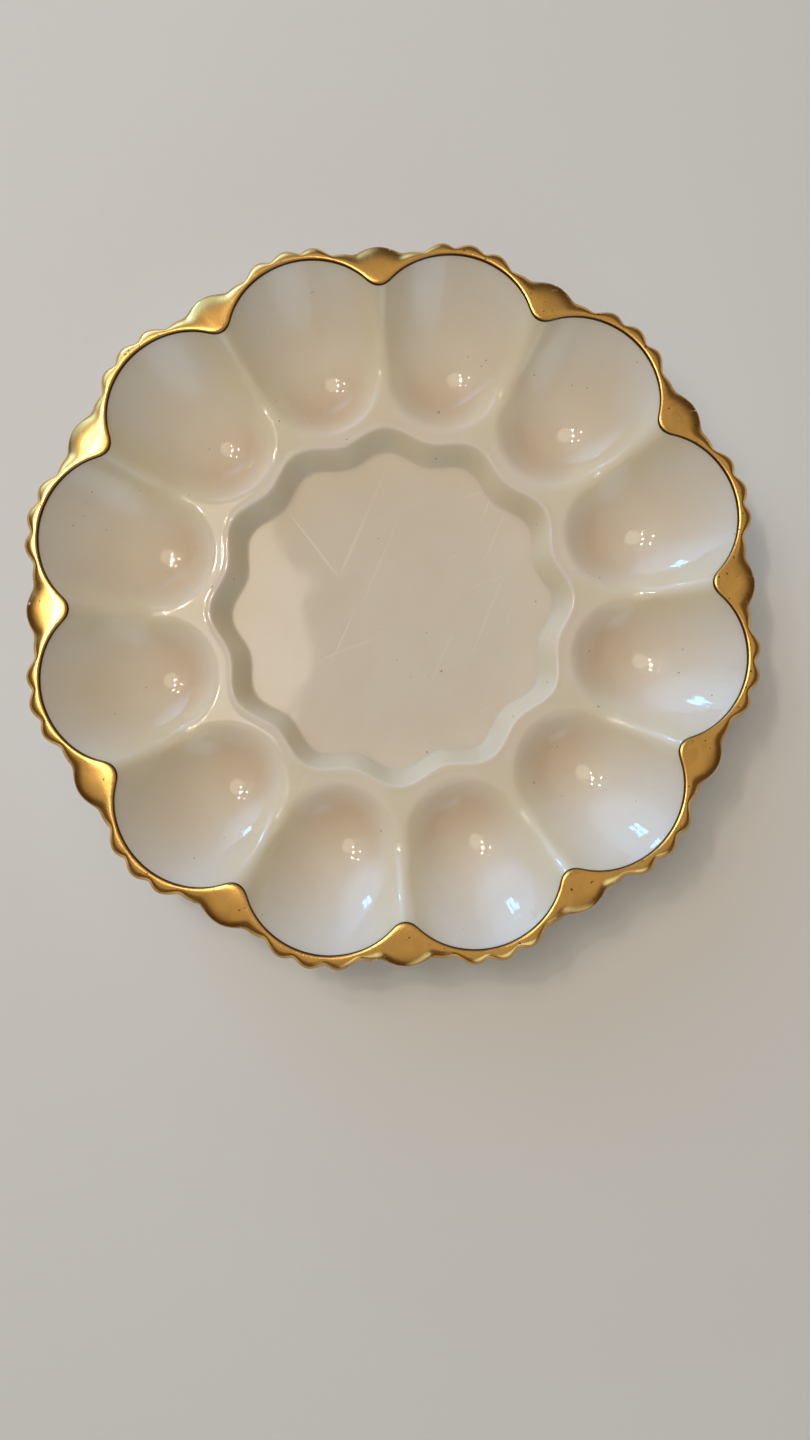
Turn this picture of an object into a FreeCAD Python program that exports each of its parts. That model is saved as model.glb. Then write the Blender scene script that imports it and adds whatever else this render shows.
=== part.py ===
import FreeCAD, Part
import math
import os

# Devilled-egg plate: one piece of pressed opal glass with twelve egg wells round a sunken
# centre, and a fired gold film on its scalloped rim.  Millimetres, +Z up.  The origin is the
# centre of the plate's axis at the plane of its foot.  Cusps, where two wells meet at the
# rim, stand at every 30 degrees from +X, and a well is centred halfway between two cusps.

# ---- driving dimensions -------------------------------------------------------------------
LOBES = 12
SECTOR = 360.0 / LOBES          # degrees from one cusp to the next
HALF = SECTOR / 2.0
COLUMNS = 60                    # spans across one sector of a moulded surface

GLASS = 4.3                     # wall thickness under the wells
RIM_Z = 30.4                    # height of the line where a well meets the rim
RIM_TOP_Z = 31.1                # top of the rim's dome
RIM_EQUATOR_Z = 27.9            # widest level of the rim's rounded edge
RIM_STEP = 0.9                  # width of the small step up from the well to the rim

# Well mouths: lobed line where the wells meet the rim
MOUTH_APEX_R = 119.1            # radius of the line at the middle of a lobe
MOUTH_FALL = 12.8               # how far a lobe falls in towards a cusp
MOUTH_CUSP_STEEPER = 0.28       # extra fall close to the cusp
MOUTH_CUSP_BLEND = 14.5         # rounding of the points between lobes

# Bowl of one well: level lines are circles that drift outwards as they rise
WELL_LOW_R = 81.8               # radius from the plate's axis to the lowest point
WELL_MOUTH_CENTRE_R = 87.9
WELL_MOUTH_RADIUS = 31.3
WELL_BOTTOM_Z = 6.6
WELL_FULLNESS = 0.46            # 0.5 is a paraboloid, less is flatter with steeper sides
CREST_BLEND = 5.0               # rounding of the crest where two wells meet
LAND_BLEND = 2.4                # rounding where a well meets the land round the centre
TIP_LIFT_POWER = 5              # how late the crests rise to the rim

# Sunken centre with a twelve-lobed wavy wall
LAND_Z = 15.4                   # land between the centre and the wells
FLOOR_Z = 6.5
RIDGE_R, RIDGE_WAVE = 60.6, 2.2
RIDGE_BEAD = 0.5                # height of the fine bead along the ridge
RIDGE_BEAD_WIDTH = 1.2          # width over which the bead falls away
RIDGE_Z = LAND_Z + RIDGE_BEAD
FLOOR_R, FLOOR_WAVE = 54.3, 2.1
WALL_ROUND = 0.12               # share of the centre wall's run taken by each rounding

# Rim edge: a wavy base line with rounded bumps, per half sector from the lobe's middle
EDGE_BASE_R = 118.3
EDGE_LOBE_RISE = 4.1
EDGE_LOBE_HALF_ANGLE = 10.5
EDGE_BUMPS = (                  # angle from the lobe's middle, height, half width in degrees
    (0.0, 1.9, 2.5),
    (4.9, 2.4, 2.5),
    (9.4, 0.85, 2.1),
    (HALF, 2.8, 4.2),
)
EDGE_POWER = 2.3                # squareness of the rim's domed section
EDGE_TUCK = 2.2                 # how far the edge turns in below
EDGE_RELIEF = 0.9               # depth of the dips between the edge's bumps
BARE_EDGE_ANGLE = 77.0          # the gilding stops here, short of the edge's widest line

# Underside
UNDER_WELL_RISE = 25.0
LIP_UNDER_Z = 26.3
GROOVE_Z = 10.4                 # underside of the land and crests
GROOVE_IN_R, GROOVE_OUT_R = 84.0, 118.0
UNDER_BLEND = 4.5
FOOT_R = 56.0                   # outer edge of the foot's flat ring
FOOT_INNER_R = 51.0
FOOT_RECESS = 2.0               # height of the base inside the foot
FOOT_SLOPE = 1.5                # rise of the foot's flank per mm outwards
FOOT_ROUND = 1.4                # width of the rounding at the foot's outer edge
RECESS_DRAFT = 2.0              # how far the recess narrows over its height
RECESS_ROUND = 0.8

FILM = 0.25                     # gold film, thicker than life so that it is a solid
SEW_TOLERANCE = 0.02


# ---- small helpers ------------------------------------------------------------------------
def smooth_min(a, b, blend):
    """Lower of two heights, rounded over where they are within `blend` of each other."""
    h = max(blend - abs(a - b), 0.0) / blend
    return min(a, b) - 0.25 * blend * h * h


def smooth_step(x):
    """0 below 0, 1 above 1, easing in and out between."""
    x = min(max(x, 0.0), 1.0)
    return x * x * (3.0 - 2.0 * x)


def from_lobe(angle):
    """Unsigned angle in degrees from the middle of the lobe that `angle` lies in."""
    return abs((angle % SECTOR) - HALF)


# ---- outlines in plan: radius at an azimuth -----------------------------------------------
def ridge_radius(angle):
    return RIDGE_R + RIDGE_WAVE * math.cos(math.radians(LOBES * angle))


def floor_radius(angle):
    return FLOOR_R + FLOOR_WAVE * math.cos(math.radians(LOBES * angle))


def mouth_radius(angle):
    """Line where the wells meet the rim: two neighbouring lobes joined by a rounded point."""
    def lobe(off):
        u = off / HALF
        return MOUTH_APEX_R - MOUTH_FALL * (u ** 2 + MOUTH_CUSP_STEEPER * u ** 6)

    off = from_lobe(angle)
    return -smooth_min(-lobe(off), -lobe(SECTOR - off), MOUTH_CUSP_BLEND)


def edge_bumps(angle):
    """How far the rim's bumps stand out at an angle."""
    off = from_lobe(angle)
    stand = 0.0
    for middle, height, half_width in EDGE_BUMPS:
        share = abs(off - middle) / half_width
        if share < 1.0:
            stand += height * math.cos(math.pi / 2 * share)
    return stand


def edge_radius(angle):
    """Outermost line of the rim with its rounded bumps."""
    off = from_lobe(angle)
    radius = EDGE_BASE_R + edge_bumps(angle)
    if off < EDGE_LOBE_HALF_ANGLE:
        radius += EDGE_LOBE_RISE * math.cos(math.pi / 2 * off / EDGE_LOBE_HALF_ANGLE) ** 2
    return radius


# ---- heights ------------------------------------------------------------------------------
def bowl_level(along, across, mouth_radius_mm):
    """Level in a bowl, 0 at the lowest point and 1 at the mouth.

    `along` is measured outwards from the lowest point.  The level line at level q is a
    circle of radius mouth * q ** WELL_FULLNESS whose centre has drifted by drift * q.
    """
    drift = WELL_MOUTH_CENTRE_R - WELL_LOW_R
    low, high = 0.0, 8.0
    for _ in range(48):
        level = 0.5 * (low + high)
        reach = mouth_radius_mm * level ** WELL_FULLNESS
        if math.hypot(along - drift * level, across) > reach:
            low = level
        else:
            high = level
    return low


def bowl_height(radius, off, bottom, rise, mouth):
    """Height of one bowl at `radius` and `off` degrees from its middle line."""
    turn = math.radians(off)
    along = radius * math.cos(turn) - WELL_LOW_R
    return bottom + rise * bowl_level(along, radius * math.sin(turn), mouth)


def two_bowls(radius, angle, bottom, rise, mouth, blend):
    """The two nearest bowls, rounded into each other along the crest between them."""
    off = from_lobe(angle)
    near = bowl_height(radius, off, bottom, rise, mouth)
    far = bowl_height(radius, SECTOR - off, bottom, rise, mouth)
    return smooth_min(near, far, blend)


def inner_height(radius, angle):
    """Top of the glass between the centre and the rim, before the crests are lifted."""
    wells = two_bowls(radius, angle, WELL_BOTTOM_Z, RIM_Z - WELL_BOTTOM_Z,
                      WELL_MOUTH_RADIUS, CREST_BLEND)
    land = LAND_Z + max(radius - WELL_LOW_R, 0.0) ** 2 * 0.06
    return smooth_min(wells, land, LAND_BLEND)


def top_height(radius, angle):
    """Top of the glass, which meets the rim at RIM_Z and the centre wall at RIDGE_Z."""
    ridge, mouth = ridge_radius(angle), mouth_radius(angle)
    share = (radius - ridge) / (mouth - ridge)
    lift = (RIM_Z - inner_height(mouth, angle)) * share ** TIP_LIFT_POWER
    settle = (LAND_Z - inner_height(ridge, angle)) * (1.0 - share) ** 12
    bead = RIDGE_BEAD * math.exp(-((radius - ridge) / RIDGE_BEAD_WIDTH) ** 2)
    return inner_height(radius, angle) + lift + settle + bead


def foot_flank(out):
    """Height of the foot's flank, `out` mm outside the flat of the foot."""
    if out < FOOT_ROUND:
        return FOOT_SLOPE * out * out / (2.0 * FOOT_ROUND)
    return FOOT_SLOPE * (out - FOOT_ROUND / 2.0)


def under_height(radius, angle):
    """Underside: twelve bulges, the grooves between them, the lip and the foot's flank."""
    bulges = two_bowls(radius, angle, WELL_BOTTOM_Z - GLASS, UNDER_WELL_RISE,
                       WELL_MOUTH_RADIUS + GLASS, UNDER_BLEND)
    share = smooth_step((radius - GROOVE_IN_R) / (GROOVE_OUT_R - GROOVE_IN_R))
    groove = GROOVE_Z + (LIP_UNDER_Z - GROOVE_Z) * share
    body = smooth_min(bulges, groove, UNDER_BLEND)
    return smooth_min(body, foot_flank(radius - FOOT_R), UNDER_BLEND * 0.5)


# ---- sections: (radius, height) points at one azimuth --------------------------------------
def centre_wall_section(angle):
    """From the centre's floor up its sloping wall to the ridge, rounded at both ends."""
    floor, ridge = floor_radius(angle), ridge_radius(angle)
    points = []
    for i in range(21):
        run = 0.5 - 0.5 * math.cos(math.pi * i / 20.0)
        if run < WALL_ROUND:
            climb = run * run / WALL_ROUND
        elif run > 1.0 - WALL_ROUND:
            climb = 2.0 - 2.0 * WALL_ROUND - (1.0 - run) ** 2 / WALL_ROUND
        else:
            climb = 2.0 * run - WALL_ROUND
        climb /= 2.0 - 2.0 * WALL_ROUND
        points.append((floor + (ridge - floor) * run, FLOOR_Z + (RIDGE_Z - FLOOR_Z) * climb))
    return points


def well_section(angle):
    ridge, mouth = ridge_radius(angle), mouth_radius(angle)
    rows = 40
    points = []
    for i in range(rows + 1):
        share = i / rows
        radius = ridge + (mouth - ridge) * share * (0.45 + 0.55 * share)
        points.append((radius, top_height(radius, angle)))
    return points


def edge_sink(angle):
    """How far the edge's widest line sinks between its bumps, so that each bump is a dome."""
    return EDGE_RELIEF * (1.0 - edge_bumps(angle) / max(height for _, height, _ in EDGE_BUMPS))


def dome_point(angle, turn):
    """Point of the rim's domed section at `turn` degrees, 0 at its top and 90 at its edge."""
    start, edge = mouth_radius(angle) + RIM_STEP, edge_radius(angle)
    power = 2.0 / EDGE_POWER
    out = math.sin(math.radians(turn)) ** power
    up = math.cos(math.radians(turn)) ** power
    return (start + (edge - start) * out,
            RIM_EQUATOR_Z + (RIM_TOP_Z - RIM_EQUATOR_Z) * up - edge_sink(angle) * out * out)


def gilded_section(angle):
    """Small step up from the well, then the dome as far as the gilding reaches."""
    mouth = mouth_radius(angle)
    points = [(mouth + RIM_STEP * math.sin(a) ** 2 * 0.9,
               RIM_Z + (RIM_TOP_Z - RIM_Z) * math.sin(a))
              for a in (math.radians(t) for t in (0, 30, 60))]
    turns = [8.0 + (BARE_EDGE_ANGLE - 8.0) * i / 9.0 for i in range(10)]
    return points + [dome_point(angle, turn) for turn in turns]


def bare_edge_section(angle):
    """Ungilded edge: over the widest line and round to the underside of the lip."""
    edge, equator = edge_radius(angle), RIM_EQUATOR_Z - edge_sink(angle)
    points = [dome_point(angle, BARE_EDGE_ANGLE + (90.0 - BARE_EDGE_ANGLE) * i / 3.0)
              for i in range(3)]
    points.append((edge, equator))
    join = under_height(edge - EDGE_TUCK, angle)
    for i in range(1, 7):
        turn = math.radians(15.0 * i)
        points.append((edge - EDGE_TUCK * (1.0 - math.cos(turn)),
                       equator - (equator - join) * math.sin(turn)))
    return points


def underside_section(angle):
    """From the lip in to the foot, with the points closer together at the foot."""
    start = edge_radius(angle) - EDGE_TUCK
    rows = 40
    points = []
    for i in range(rows + 1):
        share = 1.0 - (1.0 - i / rows) ** 1.5
        radius = start + (FOOT_R - start) * share
        points.append((radius, under_height(radius, angle)))
    return points


# ---- surfaces -----------------------------------------------------------------------------
AZIMUTHS = [-HALF + SECTOR * i / COLUMNS for i in range(COLUMNS + 1)]


def to_vector(radius, height, angle):
    turn = math.radians(angle)
    return FreeCAD.Vector(radius * math.cos(turn), radius * math.sin(turn), height)


def around_vector(radius, angle):
    """Rate at which a point on a circle moves, per degree of azimuth."""
    turn = math.radians(angle)
    speed = radius * math.radians(1.0)
    return FreeCAD.Vector(-math.sin(turn) * speed, math.cos(turn) * speed, 0.0)


def sector_grid(section):
    """Points of one sector: for each azimuth, the section's points in order."""
    return [[to_vector(r, z, a) for r, z in section(a)] for a in AZIMUTHS]


def lifted_grid(section, offset):
    """The sector's grid moved out along its own surface normal."""
    step = 0.05

    def normal(angle, index):
        here = section(angle)
        first, last = max(index - 1, 0), min(index + 1, len(here) - 1)
        outward = to_vector(*here[last], angle) - to_vector(*here[first], angle)
        around = to_vector(*section(angle + step)[index], angle + step) \
            - to_vector(*section(angle - step)[index], angle - step)
        return outward.cross(around).normalize()

    return [[point + normal(a, i) * offset for i, point in enumerate(column)]
            for a, column in zip(AZIMUTHS, sector_grid(section))]


def moulded_face(grid):
    """Smooth face through a sector's grid.

    Every section shares one set of stations, and every face shares the same azimuths, so
    neighbouring faces meet along equal curves.  At both ends the surface runs square to the
    sector's edge, because the plate is the mirror image of itself there.
    """
    middle = grid[len(grid) // 4]
    stations = [0.0]
    for one, other in zip(middle, middle[1:]):
        stations.append(stations[-1] + (other - one).Length)
    sections = []
    for column in grid:
        curve = Part.BSplineCurve()
        curve.interpolate(Points=column, Parameters=stations)
        sections.append(curve)
    rings = []
    for k in range(1, sections[0].NbPoles + 1):
        points = [curve.getPole(k) for curve in sections]
        ring = Part.BSplineCurve()
        ring.interpolate(Points=points, Parameters=AZIMUTHS, Scale=False,
                         InitialTangent=around_vector(math.hypot(points[0].x, points[0].y), -HALF),
                         FinalTangent=around_vector(math.hypot(points[-1].x, points[-1].y), HALF))
        rings.append(ring)
    poles = [[ring.getPole(i) for ring in rings] for i in range(1, rings[0].NbPoles + 1)]
    surface = Part.BSplineSurface()
    surface.buildFromPolesMultsKnots(poles, rings[0].getMultiplicities(),
                                     sections[0].getMultiplicities(), rings[0].getKnots(),
                                     sections[0].getKnots(), False, False,
                                     rings[0].Degree, sections[0].Degree)
    return surface.toShape()


def ring_edges(face):
    """Inner and outer edge of a sector's face: the two that cross the sector's middle."""
    middles = [(edge.valueAt(0.5 * (edge.FirstParameter + edge.LastParameter)), edge)
               for edge in face.Edges]
    crossing = [(middle.x, edge) for middle, edge in middles if abs(middle.y) < 1e-3]
    return [edge for reach, edge in sorted(crossing, key=lambda pair: pair[0])]


def round_the_plate(face):
    """Copies of one sector's face for every sector."""
    copies = []
    for k in range(LOBES):
        copy = face.copy()
        copy.rotate(FreeCAD.Vector(0, 0, 0), FreeCAD.Vector(0, 0, 1), SECTOR * k)
        copies.append(copy)
    return copies


def flat_disc(faces, height):
    """Flat face inside the ring of edges that `faces` have at one level."""
    edges = []
    for face in faces:
        for edge in face.Edges:
            ends = [vertex.Z for vertex in edge.Vertexes]
            if max(abs(z - height) for z in ends) < 1e-4:
                edges.append(edge)
    return Part.Face(Part.Wire(Part.__sortEdges__(edges)))


def sewn_solid(faces):
    sewn = Part.Compound(faces)
    sewn.sewShape(SEW_TOLERANCE)
    solid = Part.Solid(sewn.Shells[0])
    if solid.Volume < 0:
        solid.reverse()
    return solid


# ---- pieces -------------------------------------------------------------------------------
def make_glass_plate():
    wall = round_the_plate(moulded_face(sector_grid(centre_wall_section)))
    wells = round_the_plate(moulded_face(sector_grid(well_section)))
    rim = round_the_plate(moulded_face(sector_grid(gilded_section)))
    edge = round_the_plate(moulded_face(sector_grid(bare_edge_section)))
    under = round_the_plate(moulded_face(sector_grid(underside_section)))
    discs = [flat_disc(wall, FLOOR_Z), flat_disc(under, 0.0)]
    plate = sewn_solid(wall + wells + rim + edge + under + discs)
    plate = plate.cut(Part.makeCone(FOOT_INNER_R, FOOT_INNER_R - RECESS_DRAFT, FOOT_RECESS))
    rounded = [edge for edge in plate.Edges
               if isinstance(edge.Curve, Part.Circle) and edge.BoundBox.ZMax < FOOT_RECESS + 0.1]
    return plate.makeFillet(RECESS_ROUND, rounded)


def make_gilt_rim():
    inner = moulded_face(sector_grid(gilded_section))
    outer = moulded_face(lifted_grid(gilded_section, FILM))
    strips = [Part.makeRuledSurface(low, high)
              for low, high in zip(ring_edges(inner), ring_edges(outer))]
    return sewn_solid([copy for face in [inner, outer] + strips
                       for copy in round_the_plate(face)])


for node, make in (("glass_plate", make_glass_plate), ("gilt_rim", make_gilt_rim)):
    shape = make()
    print(node, "valid", shape.isValid(), "solids", len(shape.Solids), "volume cm3",
          round(shape.Volume / 1000.0, 2), "box", shape.BoundBox)
    shape.exportStep("parts/" + node + ".step")
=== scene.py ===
import logging
import math
from dataclasses import dataclass, field
from enum import Enum
from typing import Callable, Mapping, Optional, Sequence, Union

import bmesh
import bpy
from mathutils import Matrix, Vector


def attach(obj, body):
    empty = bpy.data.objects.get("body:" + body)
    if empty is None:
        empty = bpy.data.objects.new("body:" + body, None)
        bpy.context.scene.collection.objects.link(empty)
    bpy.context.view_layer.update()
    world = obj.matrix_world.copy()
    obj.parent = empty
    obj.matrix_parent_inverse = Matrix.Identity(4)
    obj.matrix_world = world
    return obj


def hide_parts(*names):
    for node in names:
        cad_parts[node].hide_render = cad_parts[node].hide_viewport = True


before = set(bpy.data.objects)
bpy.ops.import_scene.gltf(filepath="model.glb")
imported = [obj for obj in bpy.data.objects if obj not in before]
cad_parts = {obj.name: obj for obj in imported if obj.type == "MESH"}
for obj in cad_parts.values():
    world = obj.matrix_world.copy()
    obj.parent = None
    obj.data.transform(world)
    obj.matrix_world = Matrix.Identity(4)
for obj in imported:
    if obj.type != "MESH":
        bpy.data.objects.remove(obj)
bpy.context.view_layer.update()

log = logging.getLogger("egg_plate")

MM = 0.001
BODY = "root"

Colour = tuple[float, float, float]
# Radius and height in millimetres at an azimuth in degrees.
Profile = Callable[[float], tuple[float, float]]
# What a node's socket can be fed.
Given = Union["Expr", bpy.types.NodeSocket, float, Sequence[float]]


# ---------------------------------------------------------------------------------------
# Form of the plate
# ---------------------------------------------------------------------------------------
@dataclass(frozen=True)
class Bump:
    """One rounded bump of the rim's edge, placed from the middle of a lobe."""

    middle: float
    height: float
    half_width: float


@dataclass(frozen=True)
class PlateForm:
    """Sizes of the pressed plate in millimetres, and the outlines and heights they give.

    Azimuths are in degrees from +X. Two wells meet in a cusp at every `sector` degrees.
    """

    lobes: int = 12
    glass: float = 4.3

    # Section of the rim.
    rim_z: float = 30.4
    rim_top_z: float = 31.1
    rim_equator_z: float = 27.9
    rim_step: float = 0.9
    dome_power: float = 2.3
    bare_turn: float = 77.0
    edge_tuck: float = 2.2

    # Lobed line where the wells meet the rim.
    mouth_apex_r: float = 119.1
    mouth_fall: float = 12.8
    mouth_steeper: float = 0.28
    mouth_blend: float = 14.5

    # Wells, the crests between them and the land inside them.
    low_r: float = 81.8
    bowl_centre_r: float = 87.9
    bowl_radius: float = 31.3
    bottom_z: float = 6.6
    fullness: float = 0.46
    crest_blend: float = 5.0
    land_blend: float = 2.4
    land_z: float = 15.4
    land_rise: float = 0.06
    lift_power: int = 5
    settle_power: int = 12
    level_limit: float = 8.0
    level_halvings: int = 40

    # Sunken centre and the ridge round it.
    floor_z: float = 6.5
    ridge_r: float = 60.6
    ridge_wave: float = 2.2
    bead: float = 0.5
    bead_width: float = 1.2
    floor_r: float = 54.3
    floor_wave: float = 2.1

    # Outline of the rim's edge.
    edge_base_r: float = 118.3
    edge_rise: float = 4.1
    edge_half_angle: float = 10.5
    edge_relief: float = 0.9
    bumps: tuple[Bump, ...] = (
        Bump(0.0, 1.9, 2.5),
        Bump(4.9, 2.4, 2.5),
        Bump(9.4, 0.85, 2.1),
        Bump(15.0, 2.8, 4.2),
    )

    # Underside and foot.
    under_rise: float = 25.0
    under_blend: float = 4.5
    lip_under_z: float = 26.3
    groove_z: float = 10.4
    groove_in_r: float = 84.0
    groove_out_r: float = 118.0
    foot_r: float = 56.0
    foot_inner_r: float = 51.0
    foot_slope: float = 1.5
    foot_round: float = 1.4
    foot_blend: float = 2.25
    recess: float = 2.0
    recess_draft: float = 2.0

    @property
    def ridge_z(self) -> float:
        """Height of the ridge round the sunken centre."""
        return self.land_z + self.bead

    @property
    def sector(self) -> float:
        """Degrees from one cusp to the next."""
        return 360.0 / self.lobes

    def from_lobe(self, azimuth: float) -> float:
        """Unsigned angle in degrees from the middle of the lobe that the azimuth is in."""
        return abs((azimuth % self.sector) - self.sector / 2.0)

    def ridge_radius(self, azimuth: float) -> float:
        """Radius of the ridge round the sunken centre."""
        return self.ridge_r + self.ridge_wave * math.cos(math.radians(self.lobes * azimuth))

    def floor_radius(self, azimuth: float) -> float:
        """Radius of the sunken centre's flat floor."""
        return self.floor_r + self.floor_wave * math.cos(math.radians(self.lobes * azimuth))

    def mouth_radius(self, azimuth: float) -> float:
        """Radius of the lobed line where the wells meet the rim.

        Args:
            azimuth: Degrees from +X.

        Returns:
            The radius in millimetres.
        """
        def lobe(off: float) -> float:
            """Radius on one lobe, carried on past its cusps."""
            share = off / (self.sector / 2.0)
            return self.mouth_apex_r - self.mouth_fall * (
                share ** 2 + self.mouth_steeper * share ** 6)

        off = self.from_lobe(azimuth)
        return -smooth_min(-lobe(off), -lobe(self.sector - off), self.mouth_blend)

    def edge_radius(self, azimuth: float) -> float:
        """Radius of the rim's outermost line with its bumps.

        Args:
            azimuth: Degrees from +X.

        Returns:
            The radius in millimetres.
        """
        off = self.from_lobe(azimuth)
        radius = self.edge_base_r + self.edge_bumps(azimuth)
        if off < self.edge_half_angle:
            radius += self.edge_rise * math.cos(math.pi / 2 * off / self.edge_half_angle) ** 2
        return radius

    def edge_bumps(self, azimuth: float) -> float:
        """How far the rim's bumps stand out at an azimuth.

        Args:
            azimuth: Degrees from +X.

        Returns:
            The distance in millimetres.
        """
        off = self.from_lobe(azimuth)
        stand = 0.0
        for bump in self.bumps:
            share = abs(off - bump.middle) / bump.half_width
            if share < 1.0:
                stand += bump.height * math.cos(math.pi / 2 * share)
        return stand

    def edge_sink(self, azimuth: float) -> float:
        """How far the widest line sinks between the bumps, so that each bump is a dome."""
        tallest = max(bump.height for bump in self.bumps)
        return self.edge_relief * (1.0 - self.edge_bumps(azimuth) / tallest)

    def bowl_level(self, along: float, across: float, mouth: float) -> float:
        """Level in a bowl whose level lines are circles that drift outwards.

        Args:
            along: Distance outwards from the bowl's lowest point.
            across: Distance to the side of the bowl's middle line.
            mouth: Radius of the bowl's mouth.

        Returns:
            0 at the lowest point, 1 at the mouth, more outside it.
        """
        drift = self.bowl_centre_r - self.low_r
        low, high = 0.0, self.level_limit
        for _ in range(self.level_halvings):
            level = 0.5 * (low + high)
            if math.hypot(along - drift * level, across) > mouth * level ** self.fullness:
                low = level
            else:
                high = level
        return low

    def two_bowls(self, radius: float, azimuth: float, bottom: float, rise: float,
                  mouth: float, blend: float) -> float:
        """Height of the two nearest bowls, rounded into each other along their crest.

        Args:
            radius: Distance from the axis in millimetres.
            azimuth: Degrees from +X.
            bottom: Height of the bowls' lowest points.
            rise: Height from there to their mouths.
            mouth: Radius of their mouths.
            blend: Height over which the crest is rounded.

        Returns:
            The height in millimetres.
        """
        def bowl(off: float) -> float:
            """Height of the bowl whose middle line is `off` degrees away."""
            turn = math.radians(off)
            level = self.bowl_level(radius * math.cos(turn) - self.low_r,
                                    radius * math.sin(turn), mouth)
            return bottom + rise * level

        off = self.from_lobe(azimuth)
        return smooth_min(bowl(off), bowl(self.sector - off), blend)

    def inner_height(self, radius: float, azimuth: float) -> float:
        """Height of wells and land before the crests are lifted to the rim.

        Args:
            radius: Distance from the axis in millimetres.
            azimuth: Degrees from +X.

        Returns:
            The height in millimetres.
        """
        wells = self.two_bowls(radius, azimuth, self.bottom_z, self.rim_z - self.bottom_z,
                               self.bowl_radius, self.crest_blend)
        land = self.land_z + max(radius - self.low_r, 0.0) ** 2 * self.land_rise
        return smooth_min(wells, land, self.land_blend)

    def top_height(self, radius: float, azimuth: float) -> float:
        """Height of the glass's upper surface between the ridge and the rim.

        Args:
            radius: Distance from the axis in millimetres.
            azimuth: Degrees from +X.

        Returns:
            The height in millimetres.
        """
        ridge, mouth = self.ridge_radius(azimuth), self.mouth_radius(azimuth)
        share = (radius - ridge) / (mouth - ridge)
        lift = (self.rim_z - self.inner_height(mouth, azimuth)) * share ** self.lift_power
        settle = ((self.land_z - self.inner_height(ridge, azimuth))
                  * (1.0 - share) ** self.settle_power)
        bead = self.bead * math.exp(-((radius - ridge) / self.bead_width) ** 2)
        return self.inner_height(radius, azimuth) + lift + settle + bead

    def foot_flank(self, out: float) -> float:
        """Height of the foot's flank `out` millimetres outside its flat ring.

        Args:
            out: Distance outside the ring, which may be below 0.

        Returns:
            The height in millimetres.
        """
        if out < self.foot_round:
            return self.foot_slope * out * out / (2.0 * self.foot_round)
        return self.foot_slope * (out - self.foot_round / 2.0)

    def under_height(self, radius: float, azimuth: float) -> float:
        """Height of the underside: bulges, grooves, lip and the foot's flank.

        Args:
            radius: Distance from the axis in millimetres.
            azimuth: Degrees from +X.

        Returns:
            The height in millimetres.
        """
        bulges = self.two_bowls(radius, azimuth, self.bottom_z - self.glass, self.under_rise,
                                self.bowl_radius + self.glass, self.under_blend)
        share = (radius - self.groove_in_r) / (self.groove_out_r - self.groove_in_r)
        groove = self.groove_z + (self.lip_under_z - self.groove_z) * smooth_step(share)
        body = smooth_min(bulges, groove, self.under_blend)
        return smooth_min(body, self.foot_flank(radius - self.foot_r), self.foot_blend)

    def dome(self, azimuth: float, turn: float) -> tuple[float, float]:
        """Point of the rim's domed section, `turn` degrees down from its top.

        Args:
            azimuth: Degrees from +X.
            turn: 0 at the top, 90 at the widest line.

        Returns:
            Radius and height in millimetres.
        """
        start, edge = self.mouth_radius(azimuth) + self.rim_step, self.edge_radius(azimuth)
        power = 2.0 / self.dome_power
        out = math.sin(math.radians(turn)) ** power
        up = math.cos(math.radians(turn)) ** power
        height = self.rim_equator_z + (self.rim_top_z - self.rim_equator_z) * up
        return start + (edge - start) * out, height - self.edge_sink(azimuth) * out * out


def smooth_min(one: float, other: float, blend: float) -> float:
    """Lower of two values, rounded over where they are within `blend` of each other."""
    near = max(blend - abs(one - other), 0.0) / blend
    return min(one, other) - 0.25 * blend * near * near


def smooth_step(share: float) -> float:
    """Ease from 0 to 1 as `share` goes from 0 to 1."""
    share = min(max(share, 0.0), 1.0)
    return share * share * (3.0 - 2.0 * share)


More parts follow.
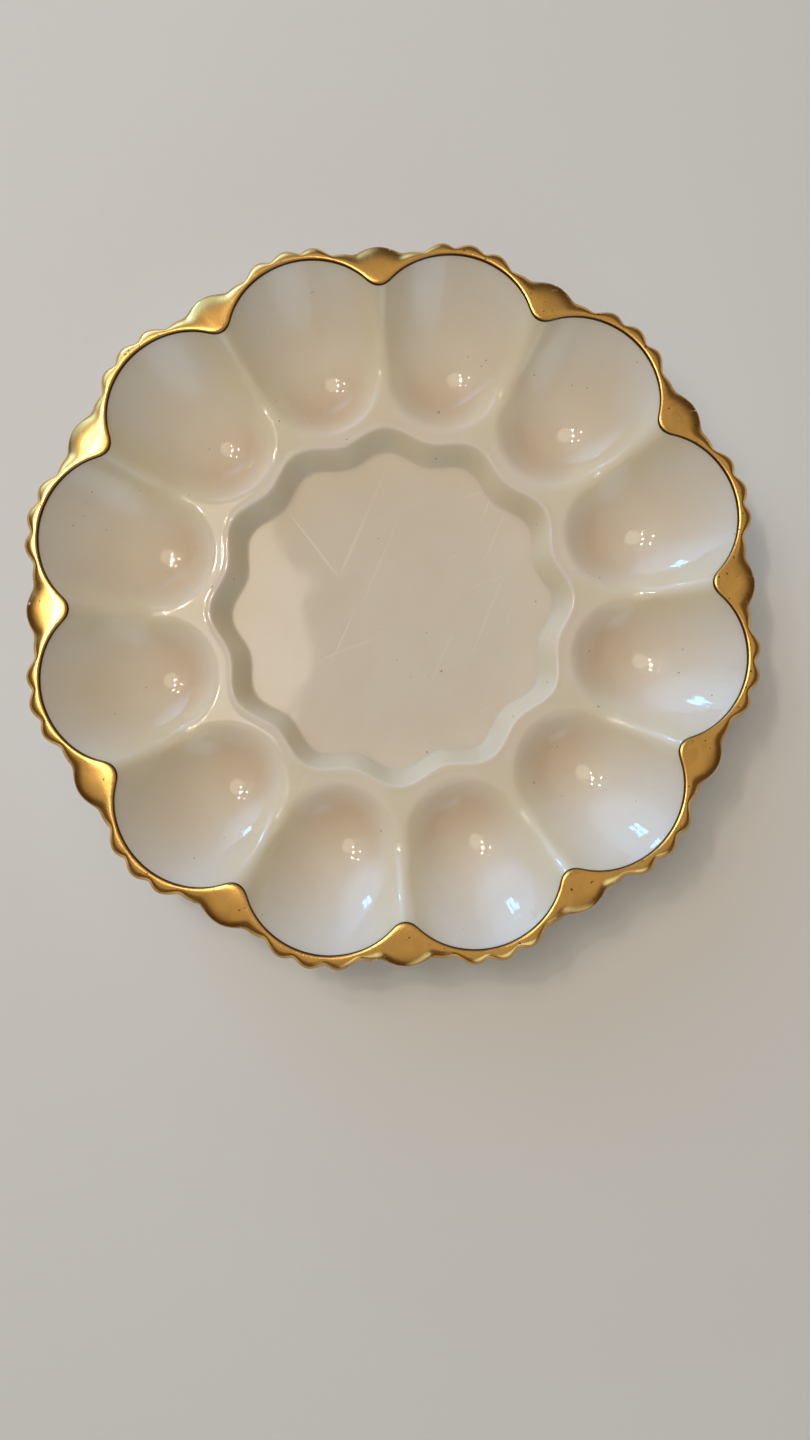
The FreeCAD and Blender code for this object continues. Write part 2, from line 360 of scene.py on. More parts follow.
# ---------------------------------------------------------------------------------------
# Modelling
# ---------------------------------------------------------------------------------------
class RingModel:
    """A surface grown ring by ring from a circle, each ring extruded from the last."""

    def __init__(self, name: str, form: PlateForm, sides: int, first: Profile,
                 closed: bool) -> None:
        """Add the first ring.

        Args:
            name: Name of the new object.
            form: The plate's sizes.
            sides: Vertices in each ring.
            first: Radius and height of the first ring at an azimuth, in millimetres.
            closed: Whether the first ring is filled by a fan.
        """
        self.form = form
        bpy.ops.object.select_all(action="DESELECT")
        bpy.ops.mesh.primitive_circle_add(
            vertices=sides, radius=first(0.0)[0] * MM,
            fill_type="TRIFAN" if closed else "NOTHING",
            location=(0.0, 0.0, 0.0))
        self.obj = bpy.context.object
        self.obj.name = self.obj.data.name = name
        bpy.ops.object.mode_set(mode="EDIT")
        bpy.ops.mesh.select_mode(type="EDGE")
        bpy.ops.transform.translate(value=(0.0, 0.0, first(0.0)[1] * MM))
        bpy.ops.mesh.select_all(action="DESELECT")
        grid = bmesh.from_edit_mesh(self.obj.data)
        for edge in grid.edges:
            edge.select_set(edge.is_boundary or edge.is_wire)
        bmesh.update_edit_mesh(self.obj.data)
        self.place(first)

    def place(self, profile: Profile) -> None:
        """Move the selected ring to a profile, each vertex staying at its azimuth.

        Args:
            profile: Radius and height at an azimuth.
        """
        grid = bmesh.from_edit_mesh(self.obj.data)
        known: dict[float, tuple[float, float]] = {}
        for vert in grid.verts:
            if vert.select:
                turn = math.atan2(vert.co.y, vert.co.x)
                off = round(self.form.from_lobe(math.degrees(turn)), 3)
                if off not in known:
                    known[off] = profile(off + self.form.sector / 2.0)
                radius, height = known[off]
                vert.co = (radius * MM * math.cos(turn), radius * MM * math.sin(turn),
                           height * MM)
        bmesh.update_edit_mesh(self.obj.data)

    def grow(self, profile: Profile) -> None:
        """Extrude the selected ring and move the new one to a profile."""
        bpy.ops.mesh.extrude_region_move()
        self.place(profile)

    def close(self) -> None:
        """Close the last ring with a fan."""
        bpy.ops.mesh.extrude_region_move()
        bpy.ops.mesh.merge(type="CENTER")

    def finish(self) -> bpy.types.Object:
        """Turn all faces outwards and leave edit mode.

        Returns:
            The finished object.
        """
        bpy.ops.mesh.select_all(action="SELECT")
        bpy.ops.mesh.normals_make_consistent(inside=False)
        bpy.ops.mesh.select_all(action="DESELECT")
        bpy.ops.object.mode_set(mode="OBJECT")
        bpy.ops.object.shade_smooth()
        return self.obj


def apply_modifier(obj: bpy.types.Object, kind: str, **settings: object) -> None:
    """Add a modifier, set it and apply it.

    Args:
        obj: Object that gets it.
        kind: The modifier's type.
        settings: Values of its properties.
    """
    modifier = obj.modifiers.new(kind.title(), kind)
    for key, setting in settings.items():
        setattr(modifier, key, setting)
    bpy.ops.object.select_all(action="DESELECT")
    obj.select_set(True)
    bpy.context.view_layer.objects.active = obj
    bpy.ops.object.modifier_apply(modifier=modifier.name)


# ---------------------------------------------------------------------------------------
# Shader maths
# ---------------------------------------------------------------------------------------
class Expr:
    """A value socket that Python's operators work on; each operation adds a Math node."""

    def __init__(self, shader: "Nodes", socket: bpy.types.NodeSocket) -> None:
        """Wrap `socket` of one of the shader's nodes."""
        self.shader = shader
        self.socket = socket

    def maths(self, operation: str, *others: Given,
              first: Optional[Given] = None) -> "Expr":
        """Add a Math node.

        Args:
            operation: The node's operation.
            others: What follows this value in the node's sockets.
            first: What comes before this value, for a reflected operator.

        Returns:
            The node's result.
        """
        given = [self, *others] if first is None else [first, self]
        made = self.shader.node("ShaderNodeMath", {"operation": operation},
                                dict(enumerate(given)))
        return Expr(self.shader, made.outputs[0])

    def __add__(self, other: Given) -> "Expr":
        """Add."""
        return self.maths("ADD", other)

    __radd__ = __add__

    def __sub__(self, other: Given) -> "Expr":
        """Subtract."""
        return self.maths("SUBTRACT", other)

    def __rsub__(self, other: Given) -> "Expr":
        """Subtract from a number."""
        return self.maths("SUBTRACT", first=other)

    def __mul__(self, other: Given) -> "Expr":
        """Multiply."""
        return self.maths("MULTIPLY", other)

    __rmul__ = __mul__

    def __truediv__(self, other: Given) -> "Expr":
        """Divide."""
        return self.maths("DIVIDE", other)

    def __pow__(self, other: Given) -> "Expr":
        """Raise to a power."""
        return self.maths("POWER", other)

    def sqrt(self) -> "Expr":
        """Square root."""
        return self.maths("SQRT")

    def cos(self) -> "Expr":
        """Cosine."""
        return self.maths("COSINE")

    def ramp(self, low: float, high: float) -> "Expr":
        """Ease from 0 at `low` to 1 at `high`, which may be the smaller.

        Args:
            low: Value that gives 0.
            high: Value that gives 1.

        Returns:
            The eased value.
        """
        made = self.shader.node(
            "ShaderNodeMapRange", {"interpolation_type": "SMOOTHSTEP"},
            {"Value": self, "From Min": low, "From Max": high, "To Min": 0.0, "To Max": 1.0})
        return Expr(self.shader, made.outputs[0])


class Nodes:
    """A node tree, to which every node is added by one method."""

    def __init__(self, tree: bpy.types.NodeTree) -> None:
        """Start from an empty tree."""
        self.tree = tree
        self.tree.nodes.clear()

    def node(self, kind: str, settings: Optional[Mapping[str, object]] = None,
             inputs: Optional[Mapping[Union[int, str], Given]] = None) -> bpy.types.Node:
        """Add a node.

        Args:
            kind: The node's type.
            settings: Its properties.
            inputs: Values or links of its sockets, by name or number.

        Returns:
            The new node.
        """
        made = self.tree.nodes.new(kind)
        for key, setting in (settings or {}).items():
            setattr(made, key, setting)
        for key, given in (inputs or {}).items():
            self.feed(made.inputs[key], given)
        return made

    def feed(self, socket: bpy.types.NodeSocket, given: Given) -> None:
        """Link a socket to an expression or another socket, or give it a value.

        Args:
            socket: Socket to feed.
            given: Expression, socket, number, vector or colour.
        """
        if isinstance(given, Expr):
            given = given.socket
        if isinstance(given, bpy.types.NodeSocket):
            self.tree.links.new(given, socket)
        elif socket.type == "RGBA" and len(given) == 3:
            socket.default_value = (*given, 1.0)
        else:
            socket.default_value = given

    def blend(self, share: Given, low: Given, high: Given) -> bpy.types.NodeSocket:
        """Mix two colours."""
        made = self.node("ShaderNodeMix", {"data_type": "RGBA"}, {0: share, 6: low, 7: high})
        return made.outputs[2]


@dataclass(frozen=True)
class Glow:
    """A soft round glow of the room, full inside one angle and gone outside another."""

    azimuth: float
    elevation: float
    inner: float
    outer: float
    colour: Colour


class Room(Nodes):
    """The world: an even fill with soft glows in it, and a plain backdrop."""

    def __init__(self, name: str) -> None:
        """Make the world."""
        self.world = bpy.data.worlds.new(name)
        self.world.use_nodes = True
        super().__init__(self.world.node_tree)
        self.way = self.node("ShaderNodeTexCoord").outputs["Generated"]

    def lit(self, light: Given, glow: Glow) -> bpy.types.NodeSocket:
        """Lay a glow over the light so far.

        Args:
            light: Colour of the light so far.
            glow: Glow to add.

        Returns:
            The new colour of the light.
        """
        made = self.node("ShaderNodeVectorMath", {"operation": "DOT_PRODUCT"},
                         {0: self.way, 1: heading(glow.azimuth, glow.elevation)})
        share = Expr(self, made.outputs["Value"]).ramp(math.cos(math.radians(glow.outer)),
                                                       math.cos(math.radians(glow.inner)))
        return self.blend(share, light, glow.colour)

    def finish(self, light: Given, backdrop: Colour) -> bpy.types.World:
        """Light the scene by one colour and show the camera another.

        Args:
            light: Colour that lights the scene.
            backdrop: Colour behind the plate.

        Returns:
            The world.
        """
        seen = self.node("ShaderNodeLightPath").outputs["Is Camera Ray"]
        shown = self.node("ShaderNodeBackground", {},
                          {"Color": self.blend(seen, light, backdrop)})
        self.node("ShaderNodeOutputWorld", {}, {"Surface": shown.outputs[0]})
        return self.world


class Shader(Nodes):
    """One material and its Principled shader."""

    def __init__(self, name: str, constants: Mapping[str, object]) -> None:
        """Make the material.

        Args:
            name: The material's name.
            constants: Values of the shader's own sockets that are the same all over.
        """
        self.material = bpy.data.materials.new(name)
        self.material.use_nodes = True
        super().__init__(self.material.node_tree)
        self.surface = self.node("ShaderNodeBsdfPrincipled", {}, constants)
        self.node("ShaderNodeOutputMaterial", {}, {"Surface": self.surface.outputs[0]})
        self.place = self.node("ShaderNodeTexCoord").outputs["Object"]

    def set(self, **inputs: Given) -> None:
        """Feed sockets of the Principled shader, with _ for the spaces in their names."""
        for key, given in inputs.items():
            self.feed(self.surface.inputs[key.replace("_", " ")], given)

    def axis(self, name: str) -> Expr:
        """One Object coordinate, X, Y or Z, in metres."""
        made = self.node("ShaderNodeSeparateXYZ", {}, {0: self.place})
        return Expr(self, made.outputs[name])

    def attribute(self, name: str) -> Expr:
        """A value stored on the piece's own vertices."""
        made = self.node("ShaderNodeAttribute", {"attribute_name": name})
        return Expr(self, made.outputs["Fac"])

    def noise(self, scale: float, detail: float = 2.0, roughness: float = 0.5,
              stretch: Sequence[float] = (1.0, 1.0, 1.0), distortion: float = 0.0,
              turn: float = 0.0, where: Optional[bpy.types.NodeSocket] = None) -> Expr:
        """Noise in the piece's own space.

        Args:
            scale: Features to the metre.
            detail: Octaves of finer noise.
            roughness: Strength of the finer noise.
            stretch: Scale along each axis, under 1 to draw features out.
            distortion: How far the pattern is warped.
            turn: Angle in radians that the pattern is turned by about Z.
            where: What it is read at, in place of the Object coordinates.

        Returns:
            The noise, mostly between 0.2 and 0.8.
        """
        # A turned pattern is stretched along its own axes, which a Texture mapping does.
        moved = self.node("ShaderNodeMapping", {"vector_type": "TEXTURE"} if turn else {},
                          {"Vector": where or self.place, "Scale": [1.0 / s for s in stretch]
                           if turn else stretch, "Rotation": (0.0, 0.0, turn)})
        made = self.node("ShaderNodeTexNoise", {},
                         {"Vector": moved.outputs[0], "Scale": scale, "Detail": detail,
                          "Roughness": roughness, "Distortion": distortion})
        return Expr(self, made.outputs[0])

    def bump(self, height: Expr, distance: float) -> bpy.types.NodeSocket:
        """Normal of a bump whose height runs from 0 to 1 over `distance` metres.

        Args:
            height: The height, from 0 to 1.
            distance: What 1 stands for, in metres.

        Returns:
            The normal.
        """
        made = self.node("ShaderNodeBump", {}, {"Height": height, "Distance": distance,
                                                "Strength": 1.0})
        return made.outputs[0]


def heading(azimuth: float, elevation: float) -> Vector:
    """Unit vector towards an azimuth and elevation in degrees."""
    turn, level = math.radians(azimuth), math.radians(elevation)
    return Vector((math.cos(level) * math.cos(turn), math.cos(level) * math.sin(turn),
                   math.sin(level)))


# ---------------------------------------------------------------------------------------
# Finishes
# ---------------------------------------------------------------------------------------
@dataclass(frozen=True)
class OpalGlass:
    """Pressed opal glass: milky, a little translucent, glossy, with fine wear."""

    milk: Colour = (0.83, 0.765, 0.67)
    # Brown painted as shade low in the wells, also mixed into the faint clouds.
    deep_shade_and_cloud: Colour = (0.72, 0.595, 0.46)
    # Cool tint painted as cool light on the upper outer walls.
    outer_cool_light: Colour = (0.80, 0.785, 0.74)
    # Olive tint on the crests, and painted warm shade on the wavy wall.
    olive_and_wall_shade: Colour = (0.82, 0.765, 0.60)
    speck: Colour = (0.16, 0.11, 0.07)
    wells: int = 12
    wave_height: float = 0.0004
    scratch_turns: tuple[float, ...] = (0.6, 1.9, 2.7)

    def make(self) -> bpy.types.Material:
        """Build the material.

        Returns:
            The material.
        """
        shader = Shader("opal_glass", {
            "IOR": 1.52, "Subsurface Weight": 0.6, "Subsurface Radius": (0.007, 0.0065, 0.006),
            "Subsurface Scale": 1.0})
        east, north = shader.axis("X"), shader.axis("Y")
        height = shader.axis("Z") / MM
        radius = (east ** 2.0 + north ** 2.0).sqrt() / MM
        turn = north.maths("ARCTAN2", east)

        # Masks by height and radius in millimetres: the crests, and where shade and light are
        # painted.
        crest = (turn * float(self.wells)).cos().ramp(0.1, 1.0) * radius.ramp(58.0, 66.0)
        upper = height.ramp(5.0, 6.0)
        # Painted brown shade low in the wells.
        deep_shade_and_cloud = height.ramp(15.0, 7.0) * radius.ramp(60.0, 67.0) * radius.ramp(96.0, 70.0)
        # Painted cool light on the upper outer walls of the wells.
        outer = height.ramp(11.0, 26.0) * radius.ramp(84.0, 104.0)
        # Painted warm shade on the wavy wall round the centre.
        wall = height.ramp(6.6, 8.0) * height.ramp(15.6, 14.0) * radius.ramp(65.0, 62.0)

        # Tint with painted shade and light, faint clouds in the glass, and a few dark specks.
        clouds = shader.noise(26.0, 4.0, 0.6, distortion=1.2).ramp(0.35, 0.7)
        # Painted brown shade low in the wells.
        body = shader.blend(deep_shade_and_cloud * upper * 0.9, self.milk, self.deep_shade_and_cloud)
        # Painted cool light on the upper outer walls.
        body = shader.blend(outer * 0.9, body, self.outer_cool_light)
        # Olive tint on the crests, and painted warm shade on the wavy wall.
        body = shader.blend((crest * 0.7).maths("MAXIMUM", wall * 0.8) * upper, body, self.olive_and_wall_shade)
        # Faint clouds of the same brown, at random.
        body = shader.blend(clouds * 0.16, body, self.deep_shade_and_cloud)
        specks = (shader.noise(640.0, 0.0).ramp(0.84, 0.87)
                  * shader.noise(45.0, 0.0).ramp(0.52, 0.6))
        shader.set(Base_Color=shader.blend(specks * 0.65, body, self.speck))

        # Rubbing and knife lines, which dull the centre most.
        centre = radius.ramp(57.0, 50.0) * upper
        lines = self.scratches(shader)
        rub = shader.noise(70.0, 4.0, 0.65).ramp(0.45, 0.75)
        shader.set(Roughness=0.025 + rub * (0.015 + centre * 0.05)
                   + lines * (0.03 + centre * 0.30))

        # Ripples of the mould, a fine skin, and flutes that fan out to the rim.
        ripple = shader.noise(38.0, 1.0)
        grain = shader.noise(300.0, 2.0)
        angle = shader.node("ShaderNodeCombineXYZ", {}, {"X": turn}).outputs[0]
        flutes = shader.noise(34.0, 1.0, where=angle) * outer
        shader.set(Normal=shader.bump(ripple * 0.7 + grain * 0.012 + flutes * 0.28
                                      - lines * 0.03, self.wave_height))
        return shader.material

    def scratches(self, shader: Shader) -> Expr:
        """Short hairline scratches that cross each other in three directions.

        Args:
            shader: Material that they are in.

        Returns:
            1 on a scratch, 0 off it.
        """
        lines: Optional[Expr] = None
        for i, turn in enumerate(self.scratch_turns):
            streak = shader.noise(420.0 + 60.0 * i, 1.0, 0.4, (1.0, 0.03, 1.0), turn=turn)
            streak = streak.ramp(0.72, 0.78)
            lines = streak if lines is None else lines.maths("MAXIMUM", streak)
        return lines


@dataclass(frozen=True)
class FiredGold:
    """Bright gold painted on the rim and fired: mottled, rubbed, with painted shade at its inner
    line and painted dark reflection outside.
    """

    bright: Colour = (1.0, 0.615, 0.19)
    # Brown of the mottling, also painted as a dark reflection on the outer side.
    mottle_and_reflection_brown: Colour = (0.40, 0.19, 0.045)
    # Near black painted as shade on the step at the inner line, and in the pits.
    line: Colour = (0.075, 0.035, 0.012)
    bare: Colour = (0.78, 0.74, 0.66)
    brush_height: float = 0.0001

    def make(self) -> bpy.types.Material:
        """Build the material.

        Returns:
            The material.
        """
        shader = Shader("fired_gold", {"Coat Weight": 0.1, "Coat Roughness": 0.1})
        gap = shader.attribute(FROM_LINE)

        # Brushed, mottled gold, browner on its outer side as a painted dark reflection, darkened
        # along its line as painted shade, and dark at its pits.
        brush = shader.noise(150.0, 6.0, 0.62, (1.0, 0.6, 1.0), 0.8)
        patch = shader.noise(36.0, 2.0).ramp(0.4, 0.62)
        tone = brush.ramp(0.36, 0.64) * (0.4 + patch * 0.6)
        body = shader.blend(tone * 0.34, self.bright, self.mottle_and_reflection_brown)
        # Painted dark reflection on the rim's outer side.
        body = shader.blend(gap.ramp(1.9, 2.9) * 0.75, body, self.mottle_and_reflection_brown)
        pits = shader.noise(850.0, 0.0).ramp(0.79, 0.83)
        # Painted shade on the step at the inner line, with the dark pits.
        line = gap.ramp(0.95, 0.35).maths("MAXIMUM", pits * 0.8)
        body = shader.blend(line, body, self.line)

        # Spots of bare glass where the edge is worn.
        worn = shader.noise(330.0, 4.0, 0.7).ramp(0.62, 0.66) * gap.ramp(2.1, 2.7)
        shader.set(Base_Color=shader.blend(worn, body, self.bare))
        shader.set(Metallic=1.0 - worn)
        shader.set(Roughness=0.18 + tone * 0.14 + line * 0.15)
        fine = shader.noise(900.0, 3.0, 0.6)
        shader.set(Normal=shader.bump(brush * 0.8 + fine * 0.10 - pits * 0.2,
                                      self.brush_height))
        return shader.material


@dataclass(frozen=True)
class StudioFloor:
    """Plain pale floor."""

    pale: Colour = (0.80, 0.82, 0.84)
    roughness: float = 0.7

    def make(self) -> bpy.types.Material:
        """Build the material.

        Returns:
            The material.
        """
        shader = Shader("floor_paint", {"Roughness": self.roughness})
        shader.set(Base_Color=self.pale)
        return shader.material


# ---------------------------------------------------------------------------------------
# Pieces
# ---------------------------------------------------------------------------------------
FROM_LINE = "from_line"


@dataclass
class GlassPlate:
    """The one piece of pressed opal glass."""

    form: PlateForm
    finish: OpalGlass = field(default_factory=OpalGlass)
    sides: int = 720
    fan_r: float = 10.0
    inner_ring_r: float = 30.0
    floor_runs: tuple[float, ...] = (-0.5, -0.08)
    well_rings: int = 44
    well_evenness: float = 0.45
    last_well_share: float = 0.992
    under_rings: int = 26
    under_crowding: float = 1.35
    wall_rings: int = 16
    wall_bend: float = 0.12
    step_rings: tuple[tuple[float, float], ...] = ((0.1, 0.0), (0.4, 0.55))
    dome_turns: tuple[int, ...] = (8, 18, 28, 38, 47, 56, 64, 71, 77, 82, 86, 90)
    edge_turns: tuple[int, ...] = (12, 25, 40, 56, 72, 82)
    base_ring_r: float = 25.0

    def profiles(self) -> list[Profile]:
        """Rings from the middle of the floor over the rim to the middle of the base.

        Returns:
            The rings in the order in which they are grown.
        """
        form, even = self.form, self.well_evenness
        rings = [self.flat(self.inner_ring_r, form.floor_z)]
        rings += [self.wall(run, 0.0) for run in self.floor_runs]
        rings += [self.wall(*place) for place in self.wall_steps()]
        for i in range(self.well_rings):
            share = i / self.well_rings
            rings.append(self.well(share * (even + (1.0 - even) * share)))
        rings.append(self.well(self.last_well_share))
        rings += [lambda a, out=out, up=up: (form.mouth_radius(a) + out, form.rim_z + up)
                  for out, up in self.step_rings]
        rings += [lambda a, t=turn: form.dome(a, t) for turn in self.dome_turns]
        rings += [self.edge(turn) for turn in self.edge_turns]
        for i in range(self.under_rings + 1):
            rings.append(self.under(1.0 - (1.0 - i / self.under_rings) ** self.under_crowding))
        return rings + [self.flat(*place) for place in self.foot_steps()]

    def flat(self, radius: float, height: float) -> Profile:
        """A round level ring."""
        return lambda azimuth: (radius, height)

    def wall(self, run: float, climb: float) -> Profile:
        """A ring of the wavy wall, or of the floor inside it.

        Args:
            run: Share of the way out from the floor's edge to the ridge, below 0 on the floor.
            climb: Share of the way up.

        Returns:
            The ring.
        """
        form = self.form

        def at(azimuth: float) -> tuple[float, float]:
            """Radius and height."""
            floor, ridge = form.floor_radius(azimuth), form.ridge_radius(azimuth)
            return (floor + (ridge - floor) * run,
                    form.floor_z + (form.ridge_z - form.floor_z) * climb)
        return at

    def well(self, share: float) -> Profile:
        """A ring of the wells.

        Args:
            share: Share of the way from the ridge out to the rim.

        Returns:
            The ring.
        """
        form = self.form

        def at(azimuth: float) -> tuple[float, float]:
            """Radius and height."""
            ridge, mouth = form.ridge_radius(azimuth), form.mouth_radius(azimuth)
            radius = ridge + (mouth - ridge) * share
            return radius, form.top_height(radius, azimuth)
        return at

    def edge(self, turn: float) -> Profile:
        """A ring of the rounded edge below its widest line.

        Args:
            turn: Degrees round the edge, 0 at its widest line and 90 where the underside starts.

        Returns:
            The ring.
        """
        form = self.form

        def at(azimuth: float) -> tuple[float, float]:
            """Radius and height."""
            radius = form.edge_radius(azimuth)
            equator = form.rim_equator_z - form.edge_sink(azimuth)
            join = form.under_height(radius - form.edge_tuck, azimuth)
            slant = math.radians(turn)
            return (radius - form.edge_tuck * (1.0 - math.cos(slant)),
                    equator - (equator - join) * math.sin(slant))
        return at

    def under(self, share: float) -> Profile:
        """A ring of the underside.

        Args:
            share: Share of the way from the edge in to the foot.

        Returns:
            The ring.
        """
        form = self.form

        def at(azimuth: float) -> tuple[float, float]:
            """Radius and height."""
            start = form.edge_radius(azimuth) - form.edge_tuck
            radius = start + (form.foot_r - start) * share
            return radius, form.under_height(radius, azimuth)
        return at

    def foot_steps(self) -> list[tuple[float, float]]:
        """Radius and height of the round rings of the foot and of the recess inside it.

        Returns:
            The rings, from the outside in.
        """
        foot, inner = self.form.foot_r, self.form.foot_inner_r
        top, draft = self.form.recess, self.form.recess_draft
        return [(foot - 1.5, 0.0), (inner + 0.9, 0.0), (inner + 0.1, 0.12),
                (inner - draft * 0.5, top * 0.5), (inner - draft - 0.2, top - 0.12),
                (inner - draft - 1.2, top), (self.base_ring_r, top)]

    def wall_steps(self) -> list[tuple[float, float]]:
        """Run and climb of the rings of the wavy wall, from the floor to the ridge.

        Returns:
            Each ring's share of the way out and of the way up.
        """
        bend = self.wall_bend
        steps: list[tuple[float, float]] = []
        for i in range(self.wall_rings):
            run = 0.5 - 0.5 * math.cos(math.pi * (i + 0.7) / (self.wall_rings + 0.4))
            if run < bend:
                climb = run * run / (2.0 * bend)
            elif run > 1.0 - bend:
                climb = 1.0 - bend - (1.0 - run) ** 2 / (2.0 * bend)
            else:
                climb = run - bend / 2.0
            steps.append((run, climb / (1.0 - bend)))
        return steps

    def build(self) -> bpy.types.Object:
        """Model the plate, dress it and set it on its body.

        Returns:
            The plate.
        """
        form = self.form
        model = RingModel("opal_plate", form, self.sides,
                          lambda a: (self.fan_r, form.floor_z), True)
        for profile in self.profiles():
            model.grow(profile)
        model.close()
        plate = model.finish()
        plate.data.materials.append(self.finish.make())
        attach(plate, BODY)
        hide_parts("glass_plate")
        return plate


@dataclass
class GiltRim:
    """The film of gold fired onto the top of the rim."""

    form: PlateForm
    finish: FiredGold = field(default_factory=FiredGold)
    sides: int = 720
    film: float = 0.25
    thickness: float = 0.3
    step_rings: tuple[tuple[float, float, float], ...] = (
        (0.0, -0.12, -0.35), (0.1, -0.02, 0.1), (0.45, 0.2, 0.55), (0.9, 0.6, 0.88))
    dome_turns: tuple[int, ...] = (10, 22, 34, 45, 55, 64, 71)
    dome_gap: float = 1.2
    turns_to_gap: float = 40.0
    bare_gap: float = 3.0

    def profiles(self) -> list[tuple[float, Profile]]:
        """Rings from the inner line to the bare edge, each with its distance from the line.

        Returns:
            Each ring's distance and its profile.
        """
        form = self.form
        rings: list[tuple[float, Profile]] = [
            (gap, lambda a, out=out, up=up: (form.mouth_radius(a) + out, form.rim_z + up))
            for gap, out, up in self.step_rings]
        rings += [(self.dome_gap + turn / self.turns_to_gap, self.dome(turn))
                  for turn in self.dome_turns]
        rings.append((self.bare_gap, lambda a: form.dome(a, form.bare_turn)))
        return rings

    def dome(self, turn: float) -> Profile:
        """A ring of the rim's dome, lifted by the film's thickness.

        Args:
            turn: Degrees down from the dome's top.

        Returns:
            The ring.
        """
        def at(azimuth: float) -> tuple[float, float]:
            """Radius and height."""
            radius, height = self.form.dome(azimuth, turn)
            slant = math.radians(turn)
            return (radius + self.film * math.sin(slant) ** 2,
                    height + self.film * math.cos(slant) ** 0.5)
        return at

    def build(self) -> bpy.types.Object:
        """Model the film, dress it and set it on its body.

        Returns:
            The film.
        """
        rings = self.profiles()
        model = RingModel("gold_film", self.form, self.sides, rings[0][1], False)
        layer = [rings[0][0]]
        for gap, profile in rings[1:]:
            model.grow(profile)
            layer.append(gap)
        film = model.finish()
        values = film.data.attributes.new(FROM_LINE, "FLOAT", "POINT")
        for index, entry in enumerate(values.data):
            entry.value = layer[index // self.sides]
        apply_modifier(film, "SOLIDIFY", thickness=self.thickness * MM, offset=-1.0)
        apply_modifier(film, "SUBSURF", levels=1, render_levels=1)
        film.data.materials.append(self.finish.make())
        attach(film, BODY)
        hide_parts("gilt_rim")
        return film


# ---------------------------------------------------------------------------------------
# Studio
# ---------------------------------------------------------------------------------------
class LampShape(Enum):
    """Shape of a studio light."""

    DISC = "DISK"
    PANEL = "RECTANGLE"


@dataclass(frozen=True)
class Lamp:
    """A light that points at the plate."""

    name: str
    shape: LampShape
    azimuth: float
    elevation: float
    distance: float
    width: float
    height: float
    power: float
    colour: Colour
    spread: float = 180.0

    def build(self) -> None:
        """Add the light."""
        data = bpy.data.lights.new(self.name, "AREA")
        data.shape = self.shape.value
        data.size, data.size_y = self.width, self.height
        data.energy, data.color = self.power, self.colour
        data.spread = math.radians(self.spread)
        lamp = bpy.data.objects.new(self.name, data)
        bpy.context.scene.collection.objects.link(lamp)
        lamp.visible_camera = False
        out = heading(self.azimuth, self.elevation)
        lamp.location = out * self.distance
        lamp.rotation_euler = out.to_track_quat("Z", "Y").to_euler()


WARM: Colour = (1.0, 0.85, 0.67)
COOL: Colour = (0.14, 0.52, 1.0)


@dataclass(frozen=True)
class Bulb:
    """One warm lamp: degrees from the cluster's middle, sideways and up, and its width."""

    side: float
    up: float
    width: float


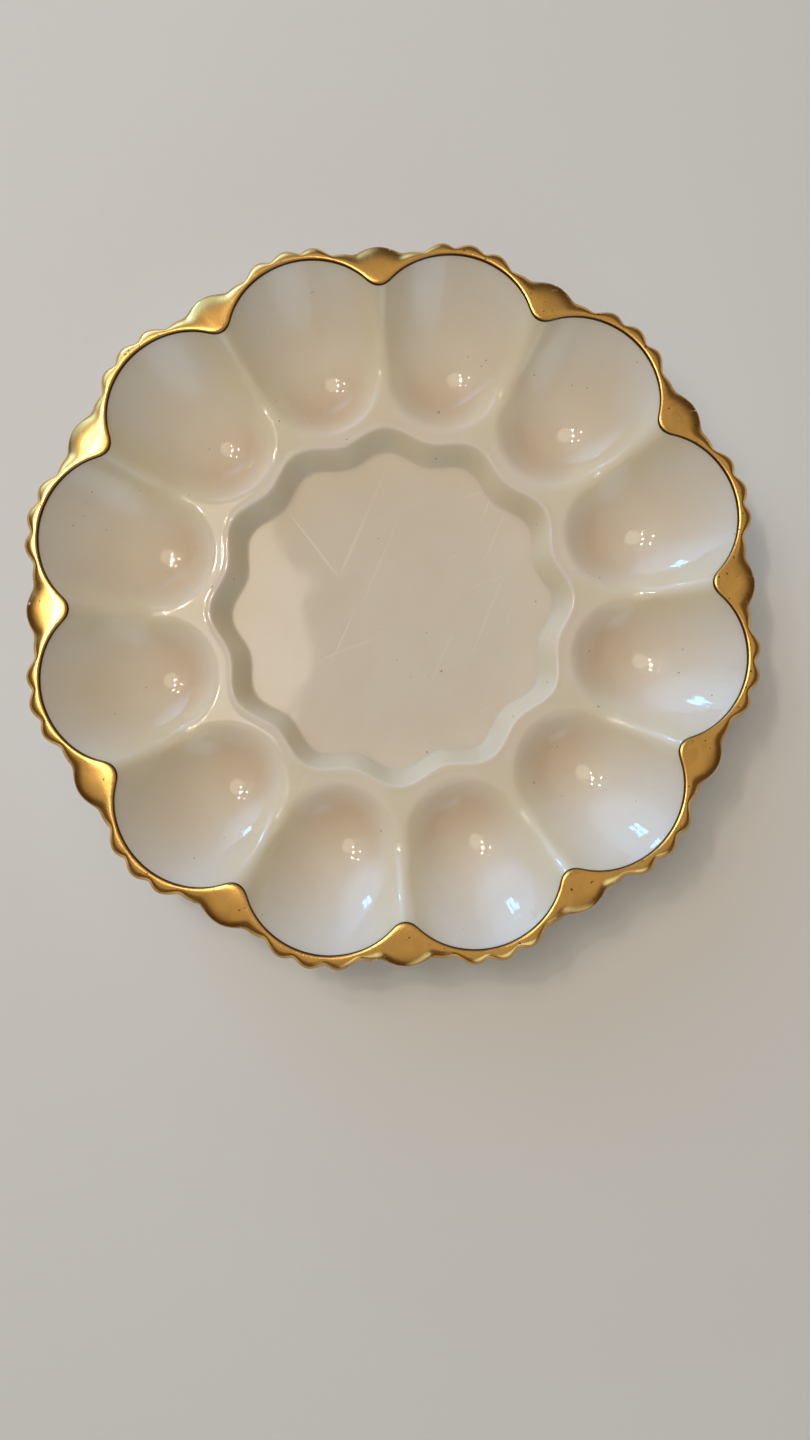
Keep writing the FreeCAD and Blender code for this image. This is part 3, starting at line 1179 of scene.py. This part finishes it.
@dataclass(frozen=True)
class Studio:
    """Floor, lights, world and camera."""

    floor_side: float = 6.0
    fill: Colour = (0.11, 0.082, 0.050)
    backdrop: Colour = (0.42, 0.40, 0.37)
    ceiling: Glow = Glow(0.0, 90.0, 38.0, 56.0, (0.42, 0.352, 0.257))
    overhead: Glow = Glow(77.0, 80.0, 7.0, 9.5, (0.20, 0.175, 0.15))
    round_bulbs: Glow = Glow(147.0, 57.5, 8.0, 22.0, (0.95, 0.84, 0.69))
    patch: Glow = Glow(145.0, 71.7, 9.9, 10.8, (3.1, 2.7, 2.2))
    window: Glow = Glow(123.0, 13.0, 6.0, 36.0, (1.10, 1.70, 2.60))
    far_window: Glow = Glow(-68.0, 23.0, 2.0, 25.0, (0.85, 1.08, 1.36))
    bulbs: tuple[Bulb, ...] = (
        Bulb(-2.0, 4.0, 0.076), Bulb(-15.0, 0.5, 0.050), Bulb(12.0, 8.0, 0.052),
        Bulb(9.0, -5.0, 0.044), Bulb(-8.0, -7.5, 0.040))
    bulb_distance: float = 1.2
    bulb_power: float = 225.0
    pane_sides: tuple[float, ...] = (-2.2, 2.2)
    pane_elevation: float = 10.5
    pane_distance: float = 1.6
    pane_width: float = 0.10
    pane_height: float = 0.15
    pane_power: float = 0.046
    pane_spread: float = 40.0
    camera_place: tuple[float, float, float] = (-0.00038, -0.06887, 0.3723)
    camera_turn: tuple[float, float, float] = (4.635, -0.315, -2.383)
    camera_lens: float = 26.25

    def build(self) -> None:
        """Add everything that isn't the plate."""
        self.add_floor()
        self.add_room()
        for lamp in [*self.warm_lamps(), *self.cool_lamps()]:
            lamp.build()
        self.add_camera()

    def add_floor(self) -> None:
        """Add the plain floor that the plate stands on."""
        bpy.ops.object.select_all(action="DESELECT")
        bpy.ops.mesh.primitive_plane_add(size=self.floor_side, location=(0.0, 0.0, 0.0))
        floor = bpy.context.object
        floor.name = "studio_floor"
        floor.data.materials.append(StudioFloor().make())

    def add_room(self) -> None:
        """Give the room its even fill, with warm glows above and cool ones at two sides."""
        room = Room("studio")
        light: Given = self.fill
        for glow in (self.ceiling, self.overhead, self.round_bulbs, self.patch, self.window,
                     self.far_window):
            light = room.lit(light, glow)
        bpy.context.scene.world = room.finish(light, self.backdrop)

    def warm_lamps(self) -> list[Lamp]:
        """The cluster of small warm bulbs that sparkles in the wells.

        Returns:
            The lamps.
        """
        middle = self.round_bulbs
        return [Lamp(f"bulb_{i + 1}", LampShape.DISC, middle.azimuth + bulb.side,
                     middle.elevation + bulb.up, self.bulb_distance, bulb.width, bulb.width,
                     self.bulb_power * bulb.width ** 2, WARM)
                for i, bulb in enumerate(self.bulbs)]

    def cool_lamps(self) -> list[Lamp]:
        """Two small cool panes, low in the window's glow.

        Returns:
            The lamps.
        """
        return [Lamp(f"pane_{i + 1}", LampShape.PANEL, self.window.azimuth + side,
                     self.pane_elevation, self.pane_distance, self.pane_width,
                     self.pane_height, self.pane_power, COOL, self.pane_spread)
                for i, side in enumerate(self.pane_sides)]

    def add_camera(self) -> None:
        """Add the camera above the plate, and make it the scene's."""
        data = bpy.data.cameras.new("camera")
        data.lens, data.sensor_width = self.camera_lens, 36.0
        camera = bpy.data.objects.new("camera", data)
        camera.location = self.camera_place
        camera.rotation_euler = [math.radians(turn) for turn in self.camera_turn]
        bpy.context.scene.collection.objects.link(camera)
        bpy.context.scene.camera = camera
        bpy.context.scene.view_settings.view_transform = "Standard"


def main() -> None:
    """Build the plate piece by piece, then the studio round it."""
    logging.basicConfig(level=logging.INFO, format="%(name)s: %(message)s")
    form = PlateForm()
    for piece in (GlassPlate(form), GiltRim(form)):
        built = piece.build()
        log.info("%s: %d faces", built.name, len(built.data.polygons))
    Studio().build()


if __name__ == "__main__":
    main()
